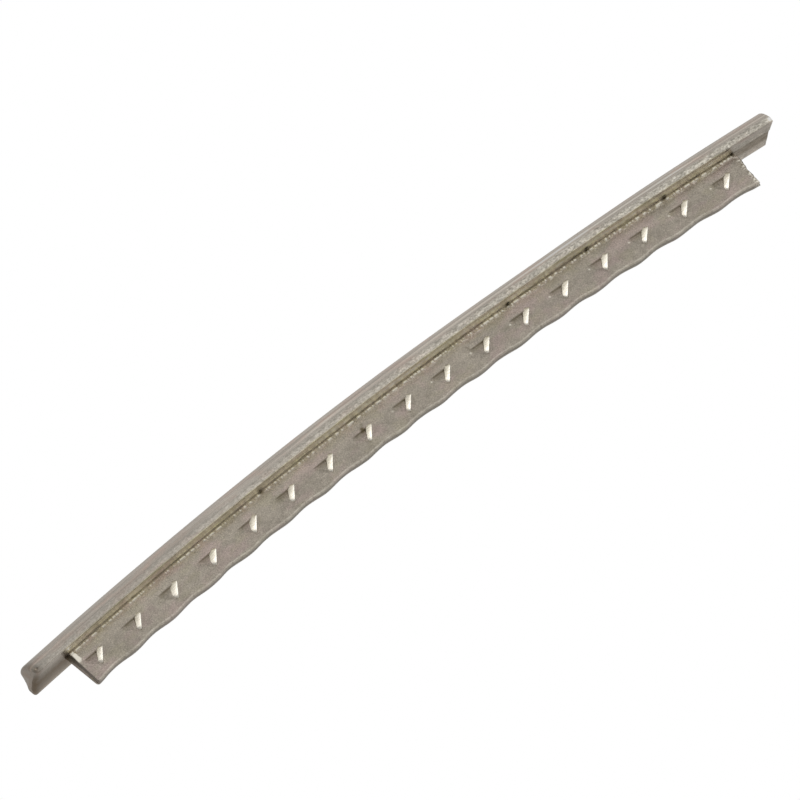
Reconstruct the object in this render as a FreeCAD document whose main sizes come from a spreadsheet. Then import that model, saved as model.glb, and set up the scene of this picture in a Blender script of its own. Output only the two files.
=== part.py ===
"""Guitar fret: fret wire cut to length and bent, with a domed crown, a barbed tang and two overhangs.

Row frame, millimetres: X along the fret, Y across it, Z up through the crown. The origin is at mid-length,
in the tang's middle plane, on the crown's underside, which is the face that lands on the fingerboard. The wire
is bent about an axis parallel to Y, bend_radius below the origin. Each body is drawn about that axis, so its
own origin is the bend centre, and its Placement moves it down by bend_radius.
"""

import FreeCAD, Part
import math
import os

import Sketcher

DIMENSIONS = {
    "bend_radius": (280.0, "radius of the crown's underside, along the length"),
    "crown_length": (49.2, "arc length of the crown, cut end to cut end"),
    "crown_width": (2.59, "width of the crown across its rims"),
    "crown_height": (1.07, "height of the dome above the underside"),
    "rim_height": (0.25, "height of the upright rim below the dome"),
    "left_overhang": (2.14, "crown past the tang at the -X end"),
    "right_overhang": (2.35, "crown past the tang at the +X end"),
    "trough_width": (0.6, "width of the trough ground into the underside past each end of the tang"),
    "trough_depth": (0.05, "depth of that trough"),
    "tang_thickness": (0.51, "thickness of the tang"),
    "tang_depth": (2.01, "depth of the tang below the underside, between barbs"),
    "scallop_depth": (0.12, "how far the tang's lower edge is drawn up below a barb"),
    "scallop_share": (0.8, "length of a scallop over the barb pitch"),
    "barb_pitch": (2.63, "arc length from barb to barb"),
    "barb_count": (17, "barbs on each face of the tang"),
    "first_barb": (1.19, "arc length from the tang's -X end to the first barb"),
    "barb_drop": (1.04, "depth of a barb's middle below the underside"),
    "barb_length": (0.88, "length of a barb's lip"),
    "barb_ramp": (0.34, "length of the ramp behind the lip"),
    "barb_height": (0.15, "how far the lip stands out of the tang's face"),
    "barb_crest": (0.06, "width of the flat along the top of the lip"),
    "barb_lean": (41.0, "angle of the lip from upright, its top towards +X, in degrees"),
}

# Angles about the bend axis, in degrees.
DEGREES = "* 180 / pi / dimensions.bend_radius"
CROWN_HALF_ANGLE = f"dimensions.crown_length / 2 {DEGREES}"
TANG_LEFT_ANGLE = f"(dimensions.crown_length / 2 - dimensions.left_overhang) {DEGREES}"
TANG_RIGHT_ANGLE = f"(dimensions.crown_length / 2 - dimensions.right_overhang) {DEGREES}"
BARB_ROW_ANGLE = f"(dimensions.barb_count - 1) * dimensions.barb_pitch {DEGREES}"

doc = FreeCAD.newDocument("guitar_fret")
sheet = doc.addObject("Spreadsheet::Sheet", "dimensions")
for row, (name, (value, meaning)) in enumerate(DIMENSIONS.items(), start=1):
    sheet.set(f"A{row}", name)
    sheet.set(f"B{row}", str(value))
    sheet.set(f"C{row}", meaning)
    sheet.setAlias(f"B{row}", name)
doc.recompute()


def dimension(name):
    """The sheet's value for a name, as a plain number."""
    return float(sheet.get(name))


def first_barb_angle():
    """The angle of the first barb about the bend axis, from mid-length towards -X, in radians."""
    arc = dimension("crown_length") / 2 - dimension("left_overhang") - dimension("first_barb")
    return arc / dimension("bend_radius")


def bent_body(label):
    """A body whose own origin is the bend centre."""
    body = doc.addObject("PartDesign::Body", label)
    body.Label = label
    body.setExpression("Placement.Base.z", "-dimensions.bend_radius")
    return body


def origin_feature(body, role):
    """The body's own origin plane or axis with this role."""
    return next(feature for feature in body.Origin.OriginFeatures if feature.Role == role)


def new_sketch(body, name, plane):
    """An empty sketch on one of the body's own origin planes."""
    sketch = body.newObject("Sketcher::SketchObject", name)
    sketch.AttachmentSupport = [(origin_feature(body, plane), "")]
    sketch.MapMode = "FlatFace"
    return sketch


def line(sketch, start, end):
    """A straight edge between two points of the sketch."""
    return sketch.addGeometry(Part.LineSegment(FreeCAD.Vector(*start, 0), FreeCAD.Vector(*end, 0)), False)


def constrain(sketch, kind, *where):
    sketch.addConstraint(Sketcher.Constraint(kind, *where))


def bind(sketch, kind, *where, start, size):
    """A sized constraint, which starts at a number and is then bound to the sheet."""
    index = sketch.addConstraint(Sketcher.Constraint(kind, *where, start))
    sketch.setExpression(f"Constraints[{index}]", size)


def sweep_about_bend(body, name, section, left_angle, right_angle):
    """Sweeps a section both ways from mid-length, about the bend axis."""
    sweep = body.newObject("PartDesign::Revolution", name)
    sweep.Profile = section
    sweep.ReferenceAxis = (section, ["H_Axis"])
    sweep.Type = "TwoAngles"
    sweep.setExpression("Angle", right_angle)
    sweep.setExpression("Angle2", left_angle)
    return sweep


def repeat_per_barb(body, feature):
    """Repeats the first barb's feature along the tang, towards +X."""
    row = body.newObject("PartDesign::PolarPattern", f"{feature.Name}_row")
    row.Originals = [feature]
    row.Axis = (origin_feature(body, "Y_Axis"), [""])
    row.setExpression("Angle", BARB_ROW_ANGLE)
    row.setExpression("Occurrences", "dimensions.barb_count")
    body.Tip = row


def grind_trough(body, end, overhang):
    """The trough left in the underside where the tang was ground off, from its end to past the crown's."""
    trough = body.newObject("PartDesign::SubtractiveBox", f"trough_{overhang}")
    trough.setExpression("Length", f"2 * dimensions.{overhang}")
    trough.setExpression("Width", "dimensions.trough_width")
    trough.setExpression("Height", "2 * dimensions.trough_depth")
    length = 2 * dimension(overhang)
    start = 0 if end > 0 else -length
    low = dimension("bend_radius") - dimension("trough_depth")
    corner = FreeCAD.Vector(start, -dimension("trough_width") / 2, low)
    arc = end * (dimension("crown_length") / 2 - dimension(overhang))
    turn = FreeCAD.Rotation(FreeCAD.Vector(0, 1, 0), math.degrees(arc / dimension("bend_radius")))
    trough.Placement = FreeCAD.Placement(turn.multVec(corner), turn)


def make_crown():
    """The D-shaped crown: a flat underside, upright rims and a round dome, with a trough in each overhang."""
    body = bent_body("crown")
    half = dimension("crown_width") / 2
    seat = dimension("bend_radius")
    rim = dimension("rim_height")
    rise = dimension("crown_height") - rim
    dome_radius = (half**2 + rise**2) / (2 * rise)

    section = new_sketch(body, "crown_section", "YZ_Plane")
    underside = line(section, (-half, seat), (half, seat))
    far_rim = line(section, (half, seat), (half, seat + rim))
    dome_centre = FreeCAD.Vector(0, seat + rim + rise - dome_radius, 0)
    dome_circle = Part.Circle(dome_centre, FreeCAD.Vector(0, 0, 1), dome_radius)
    spread = math.asin(half / dome_radius)
    dome_arc = Part.ArcOfCircle(dome_circle, math.pi / 2 - spread, math.pi / 2 + spread)
    dome = section.addGeometry(dome_arc, False)
    near_rim = line(section, (-half, seat + rim), (-half, seat))

    constrain(section, "Coincident", underside, 2, far_rim, 1)
    constrain(section, "Coincident", far_rim, 2, dome, 1)
    constrain(section, "Coincident", dome, 2, near_rim, 1)
    constrain(section, "Coincident", near_rim, 2, underside, 1)
    constrain(section, "Symmetric", underside, 1, underside, 2, -2)
    constrain(section, "Vertical", far_rim)
    constrain(section, "Vertical", near_rim)
    constrain(section, "Equal", far_rim, near_rim)
    bind(section, "DistanceX", underside, 1, underside, 2, start=2 * half, size="dimensions.crown_width")
    bind(section, "DistanceY", -1, 1, underside, 1, start=seat, size="dimensions.bend_radius")
    bind(section, "DistanceY", far_rim, 1, far_rim, 2, start=rim, size="dimensions.rim_height")
    rise_words = "(dimensions.crown_height - dimensions.rim_height)"
    radius_words = f"((dimensions.crown_width / 2) ^ 2 + {rise_words} ^ 2) / (2 * {rise_words})"
    bind(section, "Radius", dome, start=dome_radius, size=radius_words)

    sweep_about_bend(body, "crown_sweep", section, CROWN_HALF_ANGLE, CROWN_HALF_ANGLE)
    doc.recompute()
    plain_volume = body.Shape.Volume
    grind_trough(body, -1, "left_overhang")
    grind_trough(body, 1, "right_overhang")
    doc.recompute()
    if not body.Shape.Volume < plain_volume:
        raise RuntimeError("the troughs cut nothing from the crown")
    return body


def make_tang():
    """The tang: a thin curved blade with square ends, its lower edge drawn up in a scallop below each barb.

    A scallop is cut by a cylinder along Y, sized so that it enters half_chord each side of the barb.
    """
    body = bent_body("tang")
    half = dimension("tang_thickness") / 2
    seat = dimension("bend_radius")
    foot = seat - dimension("tang_depth")

    section = new_sketch(body, "tang_section", "YZ_Plane")
    lower = line(section, (-half, foot), (half, foot))
    far_side = line(section, (half, foot), (half, seat))
    upper = line(section, (half, seat), (-half, seat))
    near_side = line(section, (-half, seat), (-half, foot))
    edges = [lower, far_side, upper, near_side]
    for edge, following in zip(edges, edges[1:] + edges[:1]):
        constrain(section, "Coincident", edge, 2, following, 1)
    constrain(section, "Symmetric", lower, 1, lower, 2, -2)
    constrain(section, "Symmetric", upper, 1, upper, 2, -2)
    constrain(section, "Vertical", far_side)
    bind(section, "DistanceX", lower, 1, lower, 2, start=2 * half, size="dimensions.tang_thickness")
    bind(section, "DistanceY", -1, 1, upper, 1, start=seat, size="dimensions.bend_radius")
    bind(section, "DistanceY", far_side, 1, far_side, 2, start=seat - foot, size="dimensions.tang_depth")
    sweep_about_bend(body, "tang_sweep", section, TANG_LEFT_ANGLE, TANG_RIGHT_ANGLE)
    doc.recompute()
    plain_volume = body.Shape.Volume

    half_chord = dimension("scallop_share") * dimension("barb_pitch") / 2
    depth = dimension("scallop_depth")
    radius = (half_chord**2 + depth**2) / (2 * depth)
    reach = foot + depth - radius
    angle = first_barb_angle()

    outline = new_sketch(body, "scallop_outline", "XZ_Plane")
    centre = FreeCAD.Vector(-reach * math.sin(angle), reach * math.cos(angle), 0)
    disc = outline.addGeometry(Part.Circle(centre, FreeCAD.Vector(0, 0, 1), radius), False)
    half_chord_words = "(dimensions.scallop_share * dimensions.barb_pitch / 2)"
    depth_words = "dimensions.scallop_depth"
    radius_words = f"(({half_chord_words} ^ 2 + {depth_words} ^ 2) / (2 * {depth_words}))"
    reach_words = f"(dimensions.bend_radius - dimensions.tang_depth + {depth_words} - {radius_words})"
    angle_words = (
        "((dimensions.crown_length / 2 - dimensions.left_overhang - dimensions.first_barb)"
        f" {DEGREES} * 1 deg)"
    )
    bind(outline, "Radius", disc, start=radius, size=radius_words)
    bind(outline, "DistanceX", disc, 3, -1, 1, start=-centre.x, size=f"{reach_words} * sin({angle_words})")
    bind(outline, "DistanceY", -1, 1, disc, 3, start=centre.y, size=f"{reach_words} * cos({angle_words})")

    scallop = body.newObject("PartDesign::Pocket", "scallop")
    scallop.Profile = outline
    scallop.Type = "ThroughAll"
    scallop.Midplane = True
    doc.recompute()
    if not body.Shape.Volume < plain_volume:
        raise RuntimeError("the first scallop cuts nothing from the tang")

    repeat_per_barb(body, scallop)
    return body


def make_barbs(label, side):
    """The raised barbs on one face of the tang: wedges with a steep lip towards -X and a ramp behind it."""
    body = bent_body(label)
    body.AllowCompound = True
    barb = body.newObject("PartDesign::AdditiveWedge", f"{label}_first")
    barb.setExpression("Xmax", "dimensions.barb_ramp")
    barb.setExpression("X2max", "dimensions.barb_crest")
    barb.setExpression("Ymax", "dimensions.barb_height")
    barb.setExpression("Zmin", "-dimensions.barb_length / 2")
    barb.setExpression("Zmax", "dimensions.barb_length / 2")
    barb.setExpression("Z2min", "-dimensions.barb_length / 2 + dimensions.barb_crest")
    barb.setExpression("Z2max", "dimensions.barb_length / 2 - dimensions.barb_crest")
    barb.Xmin = barb.X2min = barb.Ymin = 0

    lean = math.radians(dimension("barb_lean"))
    angle = first_barb_angle()
    radius = dimension("bend_radius") - dimension("barb_drop")
    upward = FreeCAD.Vector(-math.sin(angle), 0, math.cos(angle))
    forward = FreeCAD.Vector(math.cos(angle), 0, math.sin(angle))
    ramp = forward * math.cos(lean) - upward * math.sin(lean)
    outward = FreeCAD.Vector(0, side, 0)
    foot = upward * radius + outward * (dimension("tang_thickness") / 2)
    turn = FreeCAD.Rotation(ramp, outward, ramp.cross(outward), "XYZ")
    barb.Placement = FreeCAD.Placement(foot, turn)
    repeat_per_barb(body, barb)
    return body


crown = make_crown()
tang = make_tang()
front_barbs = make_barbs("front_barbs", -1)
back_barbs = make_barbs("back_barbs", 1)
doc.recompute()

for item in doc.Objects:
    if "Invalid" in item.State or "Error" in item.State:
        raise RuntimeError(f"{item.Label} failed: {item.State}")

barbs = dimension("barb_count")
expected_solids = {crown: 1, tang: 1, front_barbs: barbs, back_barbs: barbs}
for body, count in expected_solids.items():
    if body.Shape.isNull() or not body.Shape.isValid():
        raise RuntimeError(f"{body.Label} has no valid shape")
    if len(body.Shape.Solids) != count:
        raise RuntimeError(f"{body.Label} has {len(body.Shape.Solids)} solids in place of {count:.0f}")

os.makedirs("parts", exist_ok=True)
for body in expected_solids:
    body.Shape.exportStep(f"parts/{body.Label}.step")
    box = body.Shape.optimalBoundingBox(False)
    print(f"{body.Label}: {body.Shape.Volume:.3f} mm3, X {box.XMin:.2f} to {box.XMax:.2f},", end=" ")
    print(f"Y {box.YMin:.2f} to {box.YMax:.2f}, Z {box.ZMin:.2f} to {box.ZMax:.2f}")
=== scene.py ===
"""The looks of a guitar fret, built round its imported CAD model.

Blender works in metres, in the row frame: X along the fret, Y across it, Z up through the crown, and the
origin at mid-length on the crown's underside. Shapes are first laid out straight, in millimetres, as arc
length along the underside, distance across and height above the underside. They are then bent about the axis
that lies BEND_RADIUS below the origin, and scaled to metres.
"""
import bpy
import math
import numpy as np
from mathutils import Matrix, Vector
from types import SimpleNamespace


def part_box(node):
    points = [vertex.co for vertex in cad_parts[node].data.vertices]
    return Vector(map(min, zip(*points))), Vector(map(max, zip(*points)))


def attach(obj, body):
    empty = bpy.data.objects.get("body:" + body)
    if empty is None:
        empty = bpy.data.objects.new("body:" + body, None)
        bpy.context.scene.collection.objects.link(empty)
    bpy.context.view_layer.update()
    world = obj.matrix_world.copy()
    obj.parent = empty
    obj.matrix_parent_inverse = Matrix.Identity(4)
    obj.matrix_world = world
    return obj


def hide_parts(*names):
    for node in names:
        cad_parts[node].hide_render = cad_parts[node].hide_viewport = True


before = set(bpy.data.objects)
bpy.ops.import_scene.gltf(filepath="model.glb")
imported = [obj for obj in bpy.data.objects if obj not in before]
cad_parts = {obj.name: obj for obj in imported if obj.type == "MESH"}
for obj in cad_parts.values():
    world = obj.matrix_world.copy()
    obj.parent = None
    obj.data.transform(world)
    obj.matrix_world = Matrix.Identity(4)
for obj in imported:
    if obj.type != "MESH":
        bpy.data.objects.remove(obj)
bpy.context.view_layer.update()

# The lengths from here to the materials are in millimetres.
MM = 0.001
BEND_RADIUS = 280.0

_, crown_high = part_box("crown")
tang_low, tang_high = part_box("tang")
CROWN_HALF_WIDTH = crown_high.y / MM
CROWN_HEIGHT = crown_high.z / MM
CROWN_END = BEND_RADIUS * math.asin(crown_high.x / MM / (BEND_RADIUS + CROWN_HEIGHT))
TANG_HALF = tang_high.y / MM
TANG_LEFT = BEND_RADIUS * math.asin(tang_low.x / MM / BEND_RADIUS)
TANG_RIGHT = BEND_RADIUS * math.asin(tang_high.x / MM / BEND_RADIUS)

# The crown's section: a slightly hollow underside, upright rims and a round dome. What lies below
# UNDERSIDE_LIMIT counts as the underside.
RIM_HEIGHT = 0.25
RIM_CORNER = 0.05
UNDERSIDE_HOLLOW = 0.03
UNDERSIDE_LIMIT = 0.045
DOME_RISE = CROWN_HEIGHT - RIM_HEIGHT
DOME_RADIUS = (CROWN_HALF_WIDTH**2 + DOME_RISE**2) / (2 * DOME_RISE)
CROWN_STEP, CROWN_END_STEP = 0.065, 0.014
CROWN_CAP_RINGS = 10

# The blade below it, which starts a little way inside the crown.
TANG_DEPTH = 2.01
SCALLOP_DEPTH = 0.12
ROOT_HEIGHT = 0.06
FOOT_CORNER = 0.05
TANG_STEP, TANG_END_STEP = 0.042, 0.01
TANG_CAP_RINGS = 6

# The barbs, evenly pitched but for a few, counted from 0 at the left.
BARB_COUNT = 17
BARB_PITCH = 2.63
FIRST_BARB = TANG_LEFT + 1.19
BARB_MIDDLE = -1.04
BARB_LENGTH = 0.88
BARB_LEAN = math.radians(41)
OFF_PITCH = {2: -0.11, 3: -0.07, 4: 0.07, 16: 0.13}
BARB_ARCS = FIRST_BARB + BARB_PITCH * np.arange(BARB_COUNT)
for barb, offset in OFF_PITCH.items():
    BARB_ARCS[barb] += offset

# Places along the wire where the corner between the tang and the crown is marked darker.
ROOT_SPOTS = (-9.26, 7.32, 12.55, 17.66, 22.08)


# ---------------------------------------------------------------- shape tools


def bend(straight):
    """Bends points given as (arc, across, height) into the row frame."""
    angle = straight[..., 0] / BEND_RADIUS
    radius = BEND_RADIUS + straight[..., 2]
    x = radius * np.sin(angle)
    z = radius * np.cos(angle) - BEND_RADIUS
    return np.stack([x, straight[..., 1], z], axis=-1)


def ramp(value, start, end):
    """A smooth step from 0 at start to 1 at end."""
    t = np.clip((value - start) / (end - start), 0, 1)
    return t * t * (3 - 2 * t)


def near(value, middle, width):
    """A soft mark, 1 at the middle and fading over the width."""
    return np.exp(-(((value - middle) / width) ** 2))


def noise(u, v, seed):
    """Smooth random values from -1 to 1, one lattice cell per unit of u and of v."""
    cells = 256
    u, v = np.broadcast_arrays(u, v)
    lattice = np.random.RandomState(seed).uniform(-1, 1, (cells, cells))
    cell_u, cell_v = np.floor(u).astype(int), np.floor(v).astype(int)
    part_u, part_v = ramp(u - cell_u, 0, 1), ramp(v - cell_v, 0, 1)
    corner = [[lattice[(cell_u + i) % cells, (cell_v + j) % cells] for j in (0, 1)] for i in (0, 1)]
    first = corner[0][0] * (1 - part_v) + corner[0][1] * part_v
    second = corner[1][0] * (1 - part_v) + corner[1][1] * part_v
    return first * (1 - part_u) + second * part_u


def stations(low, high, step, end_step):
    """Arc positions from low to high, closer together beside both ends."""
    ends = end_step * np.array([0, 0.4, 1, 2, 3.5, 5.5, 8, 11, 15])
    middle = np.arange(low + ends[-1] + step, high - ends[-1] - step / 2, step)
    return np.concatenate([low + ends, middle, (high - ends)[::-1]])


def end_inset(arcs, end, radius):
    """How far the skin is drawn in beside a rounded end."""
    gap = np.clip(np.abs(arcs - end), 0, radius)
    return radius - np.sqrt(np.maximum(radius**2 - (radius - gap) ** 2, 0))


def solid_from_sections(sections, cap_rings):
    """A closed solid from closed loops of points, one loop per station: returns its points and its faces.

    Each end is closed by rings that shrink towards the middle of the end's loop.
    """

    def cap(loop):
        middle = (loop.min(axis=0) + loop.max(axis=0)) / 2
        shares = np.linspace(0, 1, cap_rings + 1)[1:-1]
        return [middle + (loop - middle) * (1 - share) for share in shares], middle

    first_rings, first_middle = cap(sections[0])
    last_rings, last_middle = cap(sections[-1])
    loops = first_rings[::-1] + list(sections) + last_rings
    count = len(loops[0])
    points = np.concatenate([*loops, first_middle[None], last_middle[None]])
    row = np.arange(len(loops) - 1)[:, None] * count
    here = np.arange(count)[None, :]
    following = (here + 1) % count
    quads = np.stack([row + here, row + following, row + count + following, row + count + here], axis=-1)
    first_index, last_index = len(points) - 2, len(points) - 1
    last_row = (len(loops) - 1) * count
    fans = [(first_index, (j + 1) % count, j) for j in range(count)]
    fans += [(last_index, last_row + j, last_row + (j + 1) % count) for j in range(count)]
    return points, quads.reshape(-1, 4).tolist() + fans


def spread_marks(marks, loop_size, cap_rings):
    """Marks for a capped solid's points, each given for the sections, and round the loop for both ends."""
    spread = {}
    for name, (values, at_ends) in marks.items():
        round_end = np.broadcast_to(at_ends, loop_size).astype(float)
        cap = np.tile(round_end, cap_rings - 1)
        middles = [round_end.mean()] * 2
        spread[name] = np.concatenate([cap, np.asarray(values, float).ravel(), cap, middles])
    return spread


def make_piece(name, straight, faces, material, marks):
    """A mesh piece from straight points. It keeps them, and the marks, as attributes for its material."""
    mesh = bpy.data.meshes.new(name)
    mesh.from_pydata((bend(straight) * MM).tolist(), [], faces)
    mesh.validate()
    kept = mesh.attributes.new("straight", "FLOAT_VECTOR", "POINT")
    kept.data.foreach_set("vector", straight.astype(np.float32).ravel())
    for mark_name, values in marks.items():
        layer = mesh.attributes.new(mark_name, "FLOAT", "POINT")
        layer.data.foreach_set("value", np.asarray(values, np.float32).ravel())
    mesh.materials.append(material)
    mesh.polygons.foreach_set("use_smooth", [True] * len(mesh.polygons))
    mesh.update()
    piece = bpy.data.objects.new(name, mesh)
    bpy.context.scene.collection.objects.link(piece)
    return piece


def piece_from_skin(name, skin, material, marks, cap_rings):
    """A capped mesh piece from a skin's grids of arc, across and height."""
    sections = np.stack([skin.arc, skin.across, skin.height], axis=-1)
    points, faces = solid_from_sections(sections, cap_rings)
    return make_piece(name, points, faces, material, spread_marks(marks, sections.shape[1], cap_rings))


def root_spots(arc):
    """Dark marks at those places in the corner between the tang and the crown."""
    return sum(near(arc, place, 0.12) for place in ROOT_SPOTS)


# ---------------------------------------------------------------- crown


def crown_section():
    """Points round the crown's section as (across, height), from the middle of the underside towards +Y."""
    half, rim, corner = CROWN_HALF_WIDTH, RIM_HEIGHT, RIM_CORNER
    spread = math.asin(half / DOME_RADIUS)
    under = [(y, UNDERSIDE_HOLLOW * (1 - (y / half) ** 2)) for y in np.linspace(0, half - corner, 30)]
    turn = [
        (half - corner + corner * math.sin(a), corner - corner * math.cos(a))
        for a in np.linspace(0, math.pi / 2, 6)[1:]
    ]
    side = [(half, h) for h in np.linspace(corner, rim, 8)[1:-1]]
    dome = [
        (DOME_RADIUS * math.sin(a), CROWN_HEIGHT - DOME_RADIUS * (1 - math.cos(a)))
        for a in np.linspace(spread, 0, 40)
    ]
    half_loop = np.array(under + turn + side + dome)
    rim_edge = slice(len(under + turn) + 1, len(under + turn + side) + 5)
    for _ in range(3):
        smooth = (half_loop[:-2] + 2 * half_loop[1:-1] + half_loop[2:]) / 4
        half_loop[1:-1][rim_edge] = smooth[rim_edge]
    mirrored = half_loop[1:-1][::-1] * [-1, 1]
    return np.concatenate([half_loop, mirrored])


def crown_grid():
    """The crown's plain skin, laid out straight, and where each of its points lies.

    girth is the distance round the section and lean the slope of the dome in degrees. rim, below, past_left
    and past_right mark the upright rims, the underside, and the overhangs past the tang's ends. behind_left
    is how far the left overhang's lower rim, trough, painted shade and painted reflection reach on behind the
    tang.
    rightward grows from 0 to 1 along the wire.
    """
    section = crown_section()
    arcs = stations(-CROWN_END, CROWN_END, CROWN_STEP, CROWN_END_STEP)
    arc, across = np.meshgrid(arcs, section[:, 0], indexing="ij")
    height = np.broadcast_to(section[:, 1], arc.shape).copy()
    strides = np.linalg.norm(np.diff(section, axis=0), axis=1)
    girth = np.broadcast_to(np.concatenate([[0], np.cumsum(strides)]), arc.shape)
    side = np.abs(across)
    lean = np.degrees(np.arctan2(side, height - CROWN_HEIGHT + DOME_RADIUS))
    rim = ramp(height, 0.0, 0.04) * (1 - ramp(height, 0.28, 0.45))
    below = height < UNDERSIDE_LIMIT
    behind_left = 0.6 * ramp(across, 0, 0.3) * below
    past_left = 1 - ramp(arc - behind_left, TANG_LEFT - 0.06, TANG_LEFT)
    past_right = ramp(arc, TANG_RIGHT, TANG_RIGHT + 0.06)
    rightward = ramp(arc, -20, 15)
    return SimpleNamespace(
        section=section, arc=arc, across=across, height=height, girth=girth, side=side, lean=lean,
        rim=rim, below=below, behind_left=behind_left, past_left=past_left, past_right=past_right,
        rightward=rightward,
    )


def press_dome(skin):
    """The dome's top stands a little proud, and lower on the right where the rolls pressed harder."""
    low_spot = near(skin.arc, 9, 7.5)
    dome = ramp(skin.height, RIM_HEIGHT, CROWN_HEIGHT)
    skin.height += dome * (0.02 + 0.01 * skin.rightward - 0.088 * low_spot)


def find_outward(skin):
    """Directions out of the section as (across, height), away from a level line through its middle."""
    middle_height = 0.35
    line_end = CROWN_HALF_WIDTH - middle_height
    middle_line = np.clip(skin.across, -line_end, line_end)
    away = np.stack([skin.across - middle_line, skin.height - middle_height], axis=-1)
    skin.outward = away / np.maximum(np.linalg.norm(away, axis=-1, keepdims=True), 1e-6)


def move_outward(skin, distance):
    """Moves the skin out of the section, or into it where the distance is negative."""
    skin.across = skin.across + skin.outward[..., 0] * distance
    skin.height = skin.height + skin.outward[..., 1] * distance


def draw_lines(skin):
    """Lines drawn along the wire, and the rougher skin of the rims."""
    girth, arc = skin.girth, skin.arc
    skin.fine = noise(girth / 0.05, arc / 5, 3)
    skin.broad = noise(girth / 0.16, arc / 12, 4)
    skin.grain = noise(girth / 0.07, arc / 0.09, 5) + noise(girth / 0.12, arc / 0.2, 6)
    skin.swell = noise(girth / 1.1, arc / 2.3, 7)
    skin.rough_rim = skin.rim * (0.15 + 0.85 * skin.rightward)
    relief = 0.0012 * skin.fine + 0.002 * skin.broad + 0.004 * skin.swell
    relief += 0.006 * skin.rough_rim * skin.grain
    move_outward(skin, relief)


def wear_underside(skin):
    """What cutting and grinding the tang left on the underside.

    There is a small burr above the tang's left end, the far rim hangs lower past that end, and a shallow
    trough runs on past both ends, where grinding took the tang off.
    """
    arc, across, below = skin.arc, skin.across, skin.below
    skin.fleck = near(arc, TANG_LEFT - 0.02, 0.1) * near(across, -0.95, 0.16) * below
    low_rim = skin.past_left * ramp(across, 0.8, 1.2) * below
    trough = ramp(across, -0.3, -0.2) * (1 - ramp(across, 0.1, 0.5)) * below
    trough *= skin.past_left + skin.past_right
    tool_marks = 1 + 0.3 * noise(arc / 0.15, across / 0.1, 8)
    skin.height = skin.height - 0.04 * skin.fleck - 0.05 * low_rim + 0.03 * trough * tool_marks


def shape_crown_ends(skin):
    """The left end is rounded, slanted, and filed back towards the far side of its top."""
    inset = end_inset(skin.arc, -CROWN_END, 0.2) + end_inset(skin.arc, CROWN_END, 0.03)
    share_up = ramp(skin.height, RIM_HEIGHT, CROWN_HEIGHT)
    filed_off = 0.12 * ramp(share_up, 0.0, 0.8) * ramp(skin.across, -0.1, 0.7)
    slant = 0.06 + 0.09 * skin.height - filed_off
    skin.arc = skin.arc - slant * (1 - ramp(skin.arc, -CROWN_END, -CROWN_END + 1))
    move_outward(skin, -inset)


def find_tinted(skin):
    """Marks where the tang's reflection is painted on the underside beside the tang. Its ends slant left
    towards the near rim.
    """
    left_half = skin.arc < 0
    near_slant = np.where(left_half, 0.42, 0.67) * (skin.side - TANG_HALF)
    far_slant = -skin.behind_left * left_half
    slanted = skin.arc + np.where(skin.across < 0, near_slant, far_slant)
    skin.past_tint = slanted > TANG_RIGHT
    skin.tinted = ramp(slanted, TANG_LEFT - 0.05, TANG_LEFT)
    skin.tinted *= 1 - ramp(slanted, TANG_RIGHT, TANG_RIGHT + 0.05)


def find_dirt(skin):
    """Painted brown shade on the underside: on the overhangs, and in the nooks at the tang's ends."""
    arc, across = skin.arc, skin.across
    # The overhangs' dark bands and the nooks' darkness are painted shade.
    left_stain = ramp(across, -1.3, 0.15) * (1 - 0.6 * ramp(across, 0.5, 1.15))
    right_stain = ramp(across, -0.28, -0.1) * (1 - ramp(across, 0.4, 0.85))
    stain = left_stain * skin.past_left + 0.8 * right_stain * skin.past_right
    left_nook = near(arc, TANG_LEFT - 0.05, 0.13) * ramp(across, -1.15, -0.7)
    right_nook = near(arc, TANG_RIGHT + 0.02, 0.12) * ramp(across, -0.95, -0.35)
    far_nook = near(arc, TANG_LEFT + 0.15, 0.4) * ramp(across, 0.1, 0.3)
    nook = (left_nook + right_nook) * (1 - ramp(across, -0.1, 0.2)) + 0.4 * far_nook
    nook *= 1 - np.clip(1.5 * skin.fleck, 0, 1)
    skin.dirt = (0.88 * stain + 0.3 * nook) * skin.below


def dome_tone(skin):
    """The dome has a painted highlight along one line and painted dark reflections along two, under streaks
    that run along the wire.
    """
    on_dome = (skin.lean < 62) * (skin.height > RIM_HEIGHT)
    light_line = near(skin.lean, 50, 2.4) * (0.15 + 0.62 * skin.rightward) * (1 + 0.5 * skin.swell)
    dull_lines = near(skin.lean, 58, 2.5) + 0.6 * near(skin.lean, 44, 1.6)
    tone = light_line - 0.09 * dull_lines + 0.06 + 0.06 * skin.rightward
    tone += 0.04 * noise(skin.girth / 0.06, skin.arc / 0.07, 26) + 0.05 * near(skin.arc, 4, 11)
    streaks = 0.12 * skin.fine + 0.08 * skin.broad + 0.04 * skin.swell
    return tone * on_dome + streaks * (1 - 0.6 * skin.rim)


def rim_tone(skin):
    """The rims sparkle more to the right and are duller to the left, between a dark edge and a light one. The
    near rim's right tip has a painted glint.
    """
    height, rightward = skin.height, skin.rightward
    tone = 0.27 * skin.rough_rim * np.clip(skin.grain, -0.8, 2)
    tone -= 0.2 * skin.rim * (1 - ramp(skin.arc, -24, 2))
    tone -= 0.06 * (1 - rightward) * near(height, 0.26, 0.08)
    tone += 0.05 * rightward * near(height, 0.06, 0.05)
    # A painted glint on a burr at the near rim's right tip.
    tip_burr = near(skin.arc, CROWN_END, 0.22) * near(skin.across, -CROWN_HALF_WIDTH, 0.2)
    return tone + 2.2 * tip_burr * near(height, 0.17, 0.12)


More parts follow.
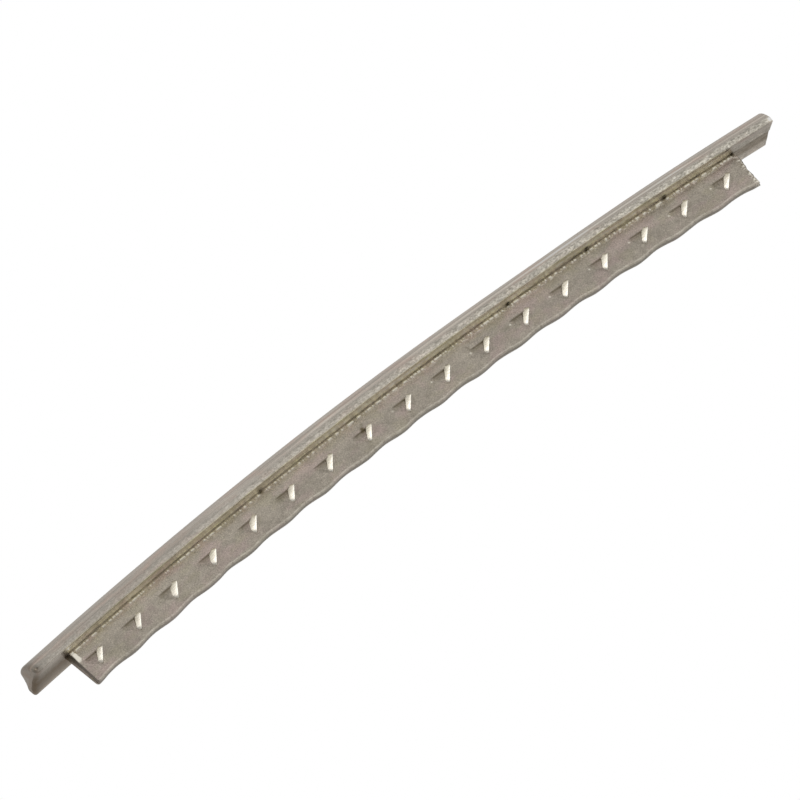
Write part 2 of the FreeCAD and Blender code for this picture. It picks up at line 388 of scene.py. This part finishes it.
def underside_tone(skin):
    """The underside has lines along it, painted shade in its corners, dark spots, and a painted glint on a
    burr at the tang.
    """
    arc, across, side, rightward = skin.arc, skin.across, skin.side, skin.rightward
    rim_corner, tang_corner = near(side, 1.22, 0.08), near(side, 0.28, 0.12)
    lines = 0.06 * near(side, 0.82, 0.12) - 0.05 * near(side, 1.08, 0.07) + 0.12 * skin.broad
    lines += 0.17 * noise(arc / 0.13, across / 0.07, 9)
    lines += 0.12 * noise(arc / 0.9, across / 0.4, 10)
    # The corners by the rim and by the tang get painted shade.
    lines -= (0.28 - 0.27 * rightward) * rim_corner
    lines -= (0.28 + 0.08 * rightward) * tang_corner + 0.06 * rightward
    lines += (0.15 - 0.1 * rightward) * near(side, 0.54, 0.15)
    lines -= 0.65 * root_spots(arc) * near(across, -0.42, 0.2)
    # Painted shade grows towards the tang's right end on the near side.
    lines -= 0.25 * ramp(arc, TANG_RIGHT - 2.5, TANG_RIGHT) * (across < 0)
    tone = lines * skin.tinted + 0.14 * rightward * rim_corner * skin.grain
    # Past the painted reflection on the right, the near part gets painted shade.
    tone -= 0.14 * skin.past_tint * (1 - ramp(across, -0.3, 0.2)) * (1 + skin.fine)
    tone += 0.15 * skin.past_right * near(across, 1.0, 0.15) * skin.grain
    # The fleck is brightened as a painted glint.
    return tone * skin.below + 1.7 * skin.fleck


def left_end_tone(skin):
    """The left end has painted shade, most of all half way up. On its rounded near corner painted shade dims
    a glint, beside a small painted lighter patch.
    """
    from_end = skin.arc + CROWN_END
    near_corner = near(skin.across, -CROWN_HALF_WIDTH, 0.2) * near(skin.height, 0.26, 0.1)
    tone = -0.3 * near(from_end, 0, 0.6) - 0.1 * near(from_end, 0.15, 0.15) * near(skin.height, 0.5, 0.4)
    tone += (0.12 * near(from_end, 0.03, 0.06) - 0.3 * near(from_end, 0.18, 0.08)) * near_corner
    return tone


def crown_marks(skin, tone):
    """The crown's marks for its material, each for the skin and then for both end faces."""
    # Both end faces get painted shade, darker towards the near side.
    face_tone = -0.06 - 0.11 * (1 - ramp(skin.section[:, 0], -1.2, 0.8))
    # Painted brown shade: the underside's, and more at the left end.
    ground = np.clip(skin.dirt + 0.35 * near(skin.arc, -CROWN_END, 0.2), 0, 1)
    return {
        "rim": (skin.rim * (0.45 + 0.55 * skin.rightward), 0.0),
        "ground": (ground, 0.5),
        # The underside beside the tang carries a painted reflection of the tang.
        "under": (skin.below * skin.tinted, 0.0),
        "tone": (tone, face_tone),
    }


def crown_piece(material):
    """The bead. Its relief, wear and tone are worked out on square ends, which are shaped afterwards."""
    skin = crown_grid()
    press_dome(skin)
    find_outward(skin)
    draw_lines(skin)
    wear_underside(skin)
    find_tinted(skin)
    find_dirt(skin)
    tone = dome_tone(skin) + rim_tone(skin) + underside_tone(skin) + left_end_tone(skin)
    shape_crown_ends(skin)
    return piece_from_skin("crown_bead", skin, material, crown_marks(skin, tone), CROWN_CAP_RINGS)


# ---------------------------------------------------------------- tang


def corner_shares(arc, height, corners):
    """Barycentric shares of three corners, each given as (arc, height)."""
    (x0, y0), (x1, y1), (x2, y2) = corners
    area = (y1 - y2) * (x0 - x2) + (x2 - x1) * (y0 - y2)
    first = ((y1 - y2) * (arc - x2) + (x2 - x1) * (height - y2)) / area
    second = ((y2 - y0) * (arc - x2) + (x0 - x2) * (height - y2)) / area
    return first, second, 1 - first - second


def from_nearest_barb(arc):
    """Distance along the wire from the nearest barb's middle."""
    nearest = np.rint((arc - FIRST_BARB) / BARB_PITCH).clip(0, BARB_COUNT - 1).astype(int)
    return arc - BARB_ARCS[nearest]


def dents(arc, height):
    """Depth of the three-cornered dents that the punch leaves before the barbs, and the painted shade in
    them.

    The floor slopes down from the edge between tip and foot to the corner at the lip's top.
    """
    deepest = 0.12
    corners = [(-1.04, 0.26), (0.16, 0.27), (-0.3, -0.55)]
    from_barb, above_barb = from_nearest_barb(arc), height - BARB_MIDDLE
    tip, top, foot = corner_shares(from_barb, above_barb, corners)
    upper_wall = ramp(foot, -0.01, 0.06)
    behind_lip = ramp(tip, -0.1, 0.02)
    depth = deepest * np.clip(top, 0, 1) ** 0.8 * upper_wall * behind_lip
    # Painted shade: a fill in each dent, a dark line along its upper wall, and a painted shadow beside the
    # lip.
    shade = ramp(top, 0.02, 0.3) * ramp(foot, -0.05, 0.02) * behind_lip * (1 - ramp(foot, 0.05, 0.45))
    line = near(foot, 0.03, 0.04) * ramp(top, 0.02, 0.4) * ramp(tip, 0.0, 0.1)
    behind = from_barb * math.cos(BARB_LEAN) - above_barb * math.sin(BARB_LEAN)
    along = from_barb * math.sin(BARB_LEAN) + above_barb * math.cos(BARB_LEAN)
    shadow = near(behind, 0.27, 0.03) * (1 - ramp(np.abs(along - 0.12), 0.2, 0.4))
    return depth, np.clip(0.54 * shade + 0.38 * line + 0.3 * shadow, 0, 1)


def scalloped_foot(arc):
    """Height of the blade's lower edge, which dips between the barbs."""
    phase = 2 * math.pi * ((arc - FIRST_BARB) / BARB_PITCH - 0.08)
    foot = -TANG_DEPTH - 0.04 + 0.8 * SCALLOP_DEPTH * (0.5 + 0.5 * np.cos(phase))
    return foot + 0.012 * noise(arc / 0.6, arc * 0, 11) + 0.014 * near(arc, -4, 6)


def tang_grid():
    """The blade's plain skin, laid out straight.

    A loop runs down the near face, across the foot, up the far face and across the root. share goes from 0
    at the root to 1 at the foot, side from -1 on the near face to 1 on the far one. flat marks both faces.
    side_seed gives each face its own noise, and rightward grows from 0 to 1 along the wire.
    """
    rows = np.concatenate([np.linspace(0, 0.9, 52)[:-1], np.linspace(0.9, 1, 9)])
    face = np.ones(len(rows))
    over_foot, over_root = np.linspace(-1, 1, 10)[1:-1], np.linspace(1, -1, 6)[1:-1]
    loop_share = np.concatenate([rows, np.ones(len(over_foot)), rows[::-1], np.zeros(len(over_root))])
    loop_side = np.concatenate([-face, over_foot, face, over_root])
    arcs = stations(TANG_LEFT, TANG_RIGHT, TANG_STEP, TANG_END_STEP)
    arc, share = np.meshgrid(arcs, loop_share, indexing="ij")
    side = np.broadcast_to(loop_side, arc.shape)
    foot = scalloped_foot(arc)
    return SimpleNamespace(
        arc=arc, share=share, side=side, foot=foot, height=ROOT_HEIGHT + share * (foot - ROOT_HEIGHT),
        flat=np.abs(side) > 0.999, side_seed=side * 3.1, rightward=ramp(arc, -14, 10),
    )


def find_burrs(skin):
    """Burrs with painted highlights: beads along the root with a fringe below, a wedge at the left; and a
    painted line above the foot.
    """
    arc, height, side_seed, rightward = skin.arc, skin.height, skin.side_seed, skin.rightward
    beads = np.clip(noise(arc / 0.08, side_seed, 12) * 3 + 0.1, 0, 1.4)
    fringe = np.clip(noise(arc / 0.08, side_seed + height / 0.05, 18) * 2 - 0.1, 0, 1)
    skin.burr = near(height, -0.08, 0.045) * (0.15 + 1.55 * beads) * (0.62 + 0.48 * rightward)
    skin.burr += near(height, -0.18, 0.06) * fringe * (0.05 + 0.55 * rightward)
    # A painted highlight line above the foot, with no relief of its own.
    skin.lower_line = ramp(skin.share, 0.93, 0.95) * ramp(np.abs(skin.side), 0.4, 0.75)
    skin.lower_line *= 0.6 + 0.5 * noise(arc / 0.1, height / 0.08 + side_seed, 24)
    from_left = arc - TANG_LEFT
    width = 0.26 + 0.08 * noise(height / 0.12, side_seed, 27)
    skin.wedge = (1 - ramp(from_left, width - 0.06, width + 0.05)) * ramp(from_left, 0, 0.03)
    skin.wedge *= (1 - ramp(-height, 0.6, 0.75)) * ramp(-height, 0.0, 0.06) * (skin.side < 0)


def thicken_tang(skin):
    """Sets across: half the blade's thickness, with its dents, burrs, rounded foot and rounded ends."""
    arc, height = skin.arc, skin.height
    depth, skin.shade = dents(arc, height)
    mottle = noise(arc / 0.13, height / 0.11, 13) + noise(arc / 0.5, height / 0.3, 14)
    wedge_rise = 0.12 * (0.75 + height)
    out = 0.024 * skin.burr + 0.003 * mottle - depth + skin.wedge * wedge_rise
    round_foot = np.clip((skin.foot + FOOT_CORNER - height) / FOOT_CORNER, 0, 1)
    drawn_in = FOOT_CORNER * (1 - np.sqrt(np.maximum(1 - round_foot**2, 0)))
    ends = end_inset(arc, TANG_LEFT, 0.03) + end_inset(arc, TANG_RIGHT, 0.02)
    half = TANG_HALF - ends + np.where(skin.flat, out - drawn_in, -0.9 * FOOT_CORNER)
    skin.across = skin.side * half


def shear_left_end(skin):
    """The left end was sheared: its near corner is crushed back, and its far edge leans."""
    at_left = 1 - ramp(skin.arc, TANG_LEFT, TANG_LEFT + 0.3)
    crushed = (0.045 + 0.04 * skin.share) * np.clip(0.5 - skin.side / 2, 0, 1) ** 1.5
    leaning = 0.07 * (2 * skin.share - 1) * np.clip(0.5 + skin.side / 2, 0, 1)
    round_corner = 0.07 * ramp(skin.share, 0.94, 1.0)
    skin.arc = skin.arc + at_left * (crushed + leaning + round_corner)


def snip_right_end(skin):
    """The right end was snipped, and is ragged."""
    height, across = skin.height, skin.across
    rag = noise(height / 0.09, across / 0.2, 15) + 0.7 * noise(height / 0.21, across, 16)
    at_right = ramp(skin.arc, TANG_RIGHT - 0.25, TANG_RIGHT)
    skin.arc = skin.arc + at_right * (0.05 * rag + 0.04 * skin.share + 0.06 * (1 + skin.side))


def bright_mark(skin):
    """Painted highlights on torn and burred metal: the burrs, the ragged end, the wedge, the foot line, a
    glint dot at each dent's tip.
    """
    arc, height = skin.arc, skin.height
    torn = ramp(arc, TANG_RIGHT - 0.24, TANG_RIGHT - 0.06)
    torn = torn * np.clip(0.1 + 1.6 * noise(height / 0.06, arc / 0.07, 17), 0, 1)
    dot = near(from_nearest_barb(arc), -0.97, 0.045) * near(height, BARB_MIDDLE + 0.1, 0.04)
    dot *= ramp(arc, -4, 1)
    return np.clip(skin.burr + torn + 1.2 * skin.wedge + 0.4 * skin.lower_line + dot, 0, 1.2)


def dark_mark(skin):
    """Dark: painted shade in the dents, dark root spots, a blot and a scratch on the near face, pits at the
    right end.
    """
    arc, height = skin.arc, skin.height
    spots = 1.2 * root_spots(arc) * near(height, -0.03, 0.11)
    spots += 1.5 * near(arc, -3.05, 0.11) * near(height, -0.73, 0.14)
    spots += 0.6 * near(arc, -2.9, 0.07) * near(height, -0.5, 0.09)
    from_scratch = arc - 4.13 + 0.3 * (height + 0.66)
    spots += 0.5 * near(from_scratch, 0, 0.05) * near(height, -0.66, 0.22)
    pits = np.clip(1.5 * noise(height / 0.07, arc / 0.06, 25), 0, 0.6)
    pits *= ramp(arc, TANG_RIGHT - 0.35, TANG_RIGHT - 0.15)
    return np.clip(skin.shade + spots * (skin.side < 0) + pits, 0, 1.2) * skin.flat


def tang_tone(skin):
    """The blade is blotchy and speckled and lighter towards its root, with painted shade right against the
    crown.
    """
    arc, height, side_seed, rightward = skin.arc, skin.height, skin.side_seed, skin.rightward
    blotches = 0.5 * noise(arc / 0.9, height / 0.45 + side_seed, 19)
    blotches += 0.5 * noise(arc / 0.28, height / 0.2 + side_seed, 20)
    specks = noise(arc / 0.055, height / 0.05 + side_seed, 23)
    tone = 0.13 * blotches + 0.1 * specks
    tone += (0.05 + 0.11 * (1 - rightward)) * (1 - ramp(-height, 0.6, 1.1))
    tone += 0.08 * (1 - ramp(-height, 0.1, 0.5))
    # Painted shade under the root's burrs towards the right.
    tone -= 0.13 * near(height, -0.31, 0.07) * ramp(arc, 8, 18)
    tone -= 0.04 * rightward * near(height, -1.15, 0.35)
    # Painted shade right against the crown.
    tone -= 0.25 * near(height, 0.0, 0.05)
    tone -= 0.08 * near(arc, TANG_LEFT, 0.6) * ramp(-height, 1.0, 1.3)
    # The foot and the root's top get painted shade.
    return tone - 0.25 * (1 - skin.flat)


def tang_marks(skin):
    """The blade's marks for its material, each for the skin and then for both end faces."""
    # Both end faces get painted shade, most on the near side and towards the root; the left end's skin blends
    # into it.
    face_tone = -0.36 + 0.24 * skin.side[0] - 0.1 * (1 - ramp(skin.share[0], 0.1, 0.4))
    at_left = 1 - ramp(skin.arc, TANG_LEFT + 0.05, TANG_LEFT + 0.1)
    tone = tang_tone(skin)
    tone += (face_tone - tone) * at_left
    return {
        "bright": (bright_mark(skin), 0.0),
        "dark": (dark_mark(skin), 0.25),
        "tone": (tone, face_tone),
    }


def tang_piece(material):
    """The blade. Its faces carry dents, its root a broken line of burr, and its lower edge scallops."""
    skin = tang_grid()
    find_burrs(skin)
    thicken_tang(skin)
    shear_left_end(skin)
    snip_right_end(skin)
    return piece_from_skin("tang_blade", skin, material, tang_marks(skin), TANG_CAP_RINGS)


# ---------------------------------------------------------------- barbs


def lip_section(wall, crest):
    """A lip's section as (behind, out): a broad wall up from the dent, a round crest and a short back."""
    slope, hidden, sunk = 0.58, 0.07, -0.14
    down = np.linspace(wall + hidden, 0, 9)
    bulge = 0.005 * np.sin(math.pi * down / (wall + hidden))
    front = np.stack([-down, crest - slope * down + bulge], axis=1)
    turned = [(0.018, 1.03), (0.034, 0.98), (0.048, 0.78), (0.058, 0.45), (0.066, 0.1), (0.075, -0.5)]
    back = [(behind, crest * share) for behind, share in turned]
    root = [(0.03, sunk), (-wall, sunk)]
    return np.concatenate([front, back, root])


def lip(barb_arc, side, chance):
    """One lip: a thin wedge that leans over and widens upwards. Its ends are rounded, the upper one less."""
    crest_behind, lip_middle, length = 0.096, -0.04, 1.1 * BARB_LENGTH
    stretch = chance.uniform(0.93, 1.07)
    broad = chance.uniform(0.85, 1.12) * (0.98 + 0.45 * near(barb_arc, -14, 4.5))
    lean = BARB_LEAN + math.radians(chance.uniform(-3, 3))
    shift = chance.uniform(-0.02, 0.02)
    sections = []
    for turn in np.sin(np.linspace(-math.pi / 2, math.pi / 2, 30)):
        squareness = 6 if turn < 0 else 14
        fullness = math.sqrt(1 - min(abs(turn), 0.999) ** squareness)
        loop = lip_section(broad * (0.21 + 0.06 * turn), 0.11 + 0.025 * turn)
        behind = crest_behind + loop[:, 0] * (0.35 + 0.65 * fullness)
        out = loop[:, 1] - 0.1 * (1 - fullness)
        along = lip_middle + turn * length / 2 * stretch
        arc = barb_arc + shift + behind * math.cos(lean) + along * math.sin(lean)
        height = BARB_MIDDLE - behind * math.sin(lean) + along * math.cos(lean)
        sections.append(np.stack([arc, side * (TANG_HALF + out), height], axis=-1))
    return solid_from_sections(np.array(sections), 3)


def barb_lips(name, side, material, seed):
    """One face's raised lips, as separate solids in one piece. side is -1 for the near face, or else 1."""
    chance = np.random.RandomState(seed)
    all_points, all_faces, total = [], [], 0
    for barb_arc in BARB_ARCS:
        points, faces = lip(barb_arc, side, chance)
        if side > 0:
            faces = [face[::-1] for face in faces]
        all_points.append(points)
        all_faces += [tuple(index + total for index in face) for face in faces]
        total += len(points)
    return make_piece(name, np.concatenate(all_points), all_faces, material, {})


# ---------------------------------------------------------------- materials

# The brown of the crown's painted shade.
GROUND_BROWN = (0.18, 0.128, 0.078)
# The brown of painted shade in the dents, and of the dark spots.
DENT_BROWN = (0.16, 0.13, 0.08)
# The white of painted highlights.
BURR_WHITE = (1.0, 0.965, 0.86)


def new_material(name):
    material = bpy.data.materials.new(name)
    material.use_nodes = True
    tree = material.node_tree
    return material, tree, tree.nodes["Principled BSDF"]


def add_node(tree, kind, **settings):
    node = tree.nodes.new(kind)
    for key, value in settings.items():
        setattr(node, key, value)
    return node


def texture(tree, scale, detail, roughness=0.5):
    """Noise in straight millimetres, with its own scale along the wire, across it and up it."""
    place = add_node(tree, "ShaderNodeAttribute", attribute_name="straight")
    spread = add_node(tree, "ShaderNodeVectorMath", operation="MULTIPLY")
    spread.inputs[1].default_value = scale
    pattern = add_node(tree, "ShaderNodeTexNoise")
    pattern.inputs["Scale"].default_value = 1
    pattern.inputs["Detail"].default_value = detail
    pattern.inputs["Roughness"].default_value = roughness
    tree.links.new(place.outputs["Vector"], spread.inputs[0])
    tree.links.new(spread.outputs[0], pattern.inputs["Vector"])
    return pattern.outputs["Fac"]


def levels(tree, value, low, high, to_low=0.0, to_high=1.0):
    """Maps the value from low..high to to_low..to_high, and keeps it in there."""
    node = add_node(tree, "ShaderNodeMapRange", clamp=True)
    for socket, number in zip(("From Min", "From Max", "To Min", "To Max"), (low, high, to_low, to_high)):
        node.inputs[socket].default_value = number
    tree.links.new(value, node.inputs["Value"])
    return node.outputs["Result"]


def mark(tree, name):
    """One of the mesh's own marks."""
    return add_node(tree, "ShaderNodeAttribute", attribute_name=name).outputs["Fac"]


def blend(tree, share, first, second):
    """Mixes two colours, each given as a colour or as a socket."""
    node = add_node(tree, "ShaderNodeMix", data_type="RGBA")
    tree.links.new(share, node.inputs["Factor"])
    for socket, colour in ((node.inputs[6], first), (node.inputs[7], second)):
        if isinstance(colour, tuple):
            socket.default_value = (*colour, 1)
        else:
            tree.links.new(colour, socket)
    return node.outputs[2]


def maths(tree, operation, first, second):
    """Adds or multiplies two values, each given as a number or as a socket."""
    node = add_node(tree, "ShaderNodeMath", operation=operation)
    for socket, value in zip(node.inputs, (first, second)):
        if isinstance(value, (int, float)):
            socket.default_value = value
        else:
            tree.links.new(value, socket)
    return node.outputs[0]


def bump(tree, shader, height, strength, distance):
    """Lets the height, up to distance in metres, tilt the shader's normal."""
    node = add_node(tree, "ShaderNodeBump")
    node.inputs["Strength"].default_value = strength
    node.inputs["Distance"].default_value = distance
    tree.links.new(height, node.inputs["Height"])
    tree.links.new(node.outputs["Normal"], shader.inputs["Normal"])


def toned(tree, colour, value):
    """The colour made lighter or darker by a value round 0, such as the mesh's own tone."""
    factor = maths(tree, "ADD", value, 1.0)
    node = add_node(tree, "ShaderNodeVectorMath", operation="SCALE")
    tree.links.new(colour, node.inputs[0])
    tree.links.new(factor, node.inputs["Scale"])
    return node.outputs[0]


def crown_material():
    """Drawn nickel silver: fine lines along the wire, grainy rims, a painted reflection of the tang and
    painted brown shade.
    """
    material, tree, shader = new_material("nickel_silver_drawn")
    line_colours = (0.57, 0.52, 0.46), (0.72, 0.67, 0.61)
    pink_patch = (0.69, 0.56, 0.49)
    rim_colours = (0.47, 0.45, 0.39), (0.80, 0.775, 0.70)
    underside_colours = (0.97, 0.89, 0.78), (0.91, 0.875, 0.66)
    lines = texture(tree, (0.12, 14, 14), 3)
    patches = texture(tree, (0.7, 2.2, 2.2), 3)
    grain = texture(tree, (7, 10, 10), 2)
    fine_grain = texture(tree, (22, 22, 22), 2)
    rim = mark(tree, "rim")
    ground = mark(tree, "ground")
    colour = blend(tree, levels(tree, lines, 0.35, 0.65), *line_colours)
    colour = blend(tree, levels(tree, patches, 0.48, 0.68, 0, 0.8), colour, pink_patch)
    speckled = blend(tree, levels(tree, grain, 0.4, 0.62), *rim_colours)
    colour = blend(tree, maths(tree, "MULTIPLY", rim, 0.8), colour, speckled)
    # The olive colours are a painted reflection of the tang on the underside.
    olive = blend(tree, levels(tree, patches, 0.35, 0.65), *underside_colours)
    colour = blend(tree, mark(tree, "under"), colour, olive)
    colour = toned(tree, colour, mark(tree, "tone"))
    colour = toned(tree, colour, levels(tree, fine_grain, 0.3, 0.7, -0.16, 0.16))
    # Painted brown shade over the colour.
    colour = blend(tree, maths(tree, "MULTIPLY", ground, 0.8), colour, GROUND_BROWN)
    tree.links.new(colour, shader.inputs["Base Color"])
    shader.inputs["Metallic"].default_value = 1
    rough = levels(tree, lines, 0.3, 0.7, 0.28, 0.4)
    rough = maths(tree, "ADD", rough, maths(tree, "MULTIPLY", rim, 0.08))
    tree.links.new(rough, shader.inputs["Roughness"])
    rim_grain = maths(tree, "MULTIPLY", maths(tree, "MULTIPLY", grain, rim), 0.8)
    relief = maths(tree, "ADD", maths(tree, "MULTIPLY", lines, 0.5), rim_grain)
    bump(tree, shader, relief, 0.4, 0.02 * MM)
    return material


def tang_material():
    """Rolled nickel silver: dull and mottled, with painted highlights on the burrs and painted brown shade in
    the dents' walls.
    """
    material, tree, shader = new_material("nickel_silver_rolled")
    mottle_colours = (0.385, 0.35, 0.30), (0.475, 0.435, 0.375)
    pink_patch, olive_patch = (0.48, 0.40, 0.37), (0.42, 0.39, 0.30)
    mottle = texture(tree, (3.2, 3.2, 3.8), 4, 0.65)
    grain = texture(tree, (16, 16, 16), 2)
    pink = texture(tree, (0.7, 1.2, 1.2), 3)
    olive = texture(tree, (1.0, 1.9, 1.9), 3)
    bright = mark(tree, "bright")
    dark = maths(tree, "MULTIPLY", mark(tree, "dark"), 0.8)
    colour = blend(tree, levels(tree, mottle, 0.35, 0.65), *mottle_colours)
    colour = blend(tree, levels(tree, pink, 0.46, 0.62, 0, 0.8), colour, pink_patch)
    colour = blend(tree, levels(tree, olive, 0.5, 0.66, 0, 0.5), colour, olive_patch)
    colour = toned(tree, colour, mark(tree, "tone"))
    colour = toned(tree, colour, levels(tree, grain, 0.3, 0.7, -0.26, 0.26))
    # Painted highlights on the burrs, the ragged end, the line above the foot and the dent tips.
    colour = blend(tree, bright, colour, BURR_WHITE)
    # Painted shade in the dents, and the dark spots, scratch and pits.
    colour = blend(tree, dark, colour, DENT_BROWN)
    tree.links.new(colour, shader.inputs["Base Color"])
    shader.inputs["Metallic"].default_value = 1
    smoother = levels(tree, bright, 0.0, 1.0, 1.0, 0.55)
    rough = maths(tree, "MULTIPLY", levels(tree, mottle, 0.3, 0.7, 0.27, 0.37), smoother)
    tree.links.new(rough, shader.inputs["Roughness"])
    relief = maths(tree, "ADD", mottle, maths(tree, "MULTIPLY", grain, 0.6))
    bump(tree, shader, relief, 0.3, 0.02 * MM)
    return material


def barb_material():
    """Freshly torn metal: bright, with fine ridges across the lip."""
    material, tree, shader = new_material("nickel_silver_torn")
    ridge_colours = (0.68, 0.65, 0.585), (0.92, 0.895, 0.84)
    ridges = texture(tree, (4, 4, 18), 2)
    colour = blend(tree, levels(tree, ridges, 0.35, 0.65), *ridge_colours)
    tree.links.new(colour, shader.inputs["Base Color"])
    shader.inputs["Metallic"].default_value = 1
    shader.inputs["Roughness"].default_value = 0.42
    bump(tree, shader, ridges, 0.3, 0.01 * MM)
    return material


# ---------------------------------------------------------------- stage, in metres

WARM_WHITE = (1.0, 0.98, 0.95)


def add_area_light(name, direction, distance, size, power):
    """A soft square light that faces the origin."""
    lamp = bpy.data.lights.new(name, "AREA")
    lamp.shape = "RECTANGLE"
    lamp.size, lamp.size_y = size, size
    lamp.energy = power
    lamp.color = WARM_WHITE
    holder = bpy.data.objects.new(name, lamp)
    holder.location = Vector(direction).normalized() * distance
    holder.rotation_mode = "QUATERNION"
    holder.rotation_quaternion = Vector(direction).to_track_quat("Z", "Y")
    holder.visible_camera = False
    bpy.context.scene.collection.objects.link(holder)


def add_world():
    """White behind the object, and an even, dimmer light from all round."""
    world = bpy.data.worlds.new("studio")
    bpy.context.scene.world = world
    world.use_nodes = True
    tree = world.node_tree
    tree.nodes.clear()
    seen = tree.nodes.new("ShaderNodeBackground")
    seen.inputs["Color"].default_value = (1, 1, 1, 1)
    around = tree.nodes.new("ShaderNodeBackground")
    around.inputs["Color"].default_value = (*WARM_WHITE, 1)
    around.inputs["Strength"].default_value = 0.5
    rays = tree.nodes.new("ShaderNodeLightPath")
    choice = tree.nodes.new("ShaderNodeMixShader")
    out = tree.nodes.new("ShaderNodeOutputWorld")
    tree.links.new(rays.outputs["Is Camera Ray"], choice.inputs["Fac"])
    tree.links.new(around.outputs[0], choice.inputs[1])
    tree.links.new(seen.outputs[0], choice.inputs[2])
    tree.links.new(choice.outputs[0], out.inputs["Surface"])


def add_floor():
    """A plain pale floor, well below the object, because the camera looks up at it."""
    size, drop = 3.0, 0.17
    mesh = bpy.data.meshes.new("floor")
    corners = [(-size, -size, -drop), (size, -size, -drop), (size, size, -drop), (-size, size, -drop)]
    mesh.from_pydata(corners, [], [(0, 1, 2, 3)])
    floor = bpy.data.objects.new("floor", mesh)
    bpy.context.scene.collection.objects.link(floor)
    material, _, shader = new_material("pale_floor")
    shader.inputs["Base Color"].default_value = (0.85, 0.84, 0.82, 1)
    shader.inputs["Roughness"].default_value = 0.9
    mesh.materials.append(material)


def add_camera():
    """A long lens that looks up at the near face of the tang, rolled so that the fret rises to the right."""
    azimuth, elevation, roll = (math.radians(angle) for angle in (-22.948, -15.886, -43.558))
    distance, shift_right, shift_up = 0.39891, 0.137 * MM, -0.6385 * MM
    level_back = math.cos(elevation)
    back = Vector((math.sin(azimuth) * level_back, -math.cos(azimuth) * level_back, math.sin(elevation)))
    level = Vector((0, 0, 1)).cross(back).normalized()
    upright = back.cross(level)
    right = level * math.cos(roll) + upright * math.sin(roll)
    up = upright * math.cos(roll) - level * math.sin(roll)
    camera = bpy.data.cameras.new("camera")
    camera.sensor_width = 36
    camera.lens = 361
    camera.clip_start = 0.01
    holder = bpy.data.objects.new("camera", camera)
    turn = Matrix((right, up, back)).transposed().to_4x4()
    place = back * distance + right * shift_right + up * shift_up
    holder.matrix_world = Matrix.Translation(place) @ turn
    bpy.context.scene.collection.objects.link(holder)
    bpy.context.scene.camera = holder


add_camera()
add_world()
add_floor()
add_area_light("key", direction=(-0.25, -0.72, 0.65), distance=0.6, size=0.28, power=0.9)
add_area_light("fill", direction=(0.375, -0.886, 0.0), distance=2.4, size=2.7, power=5.4)
bpy.context.scene.view_settings.view_transform = "Standard"

crown_metal = crown_material()
tang_metal = tang_material()
barb_metal = barb_material()

crown = crown_piece(crown_metal)
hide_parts("crown")
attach(crown, "root")

tang = tang_piece(tang_metal)
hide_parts("tang")
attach(tang, "root")

for node, side, seed in (("front_barbs", -1, 21), ("back_barbs", 1, 22)):
    lips = barb_lips(f"{node}_lips", side, barb_metal, seed)
    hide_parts(node)
    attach(lips, "root")
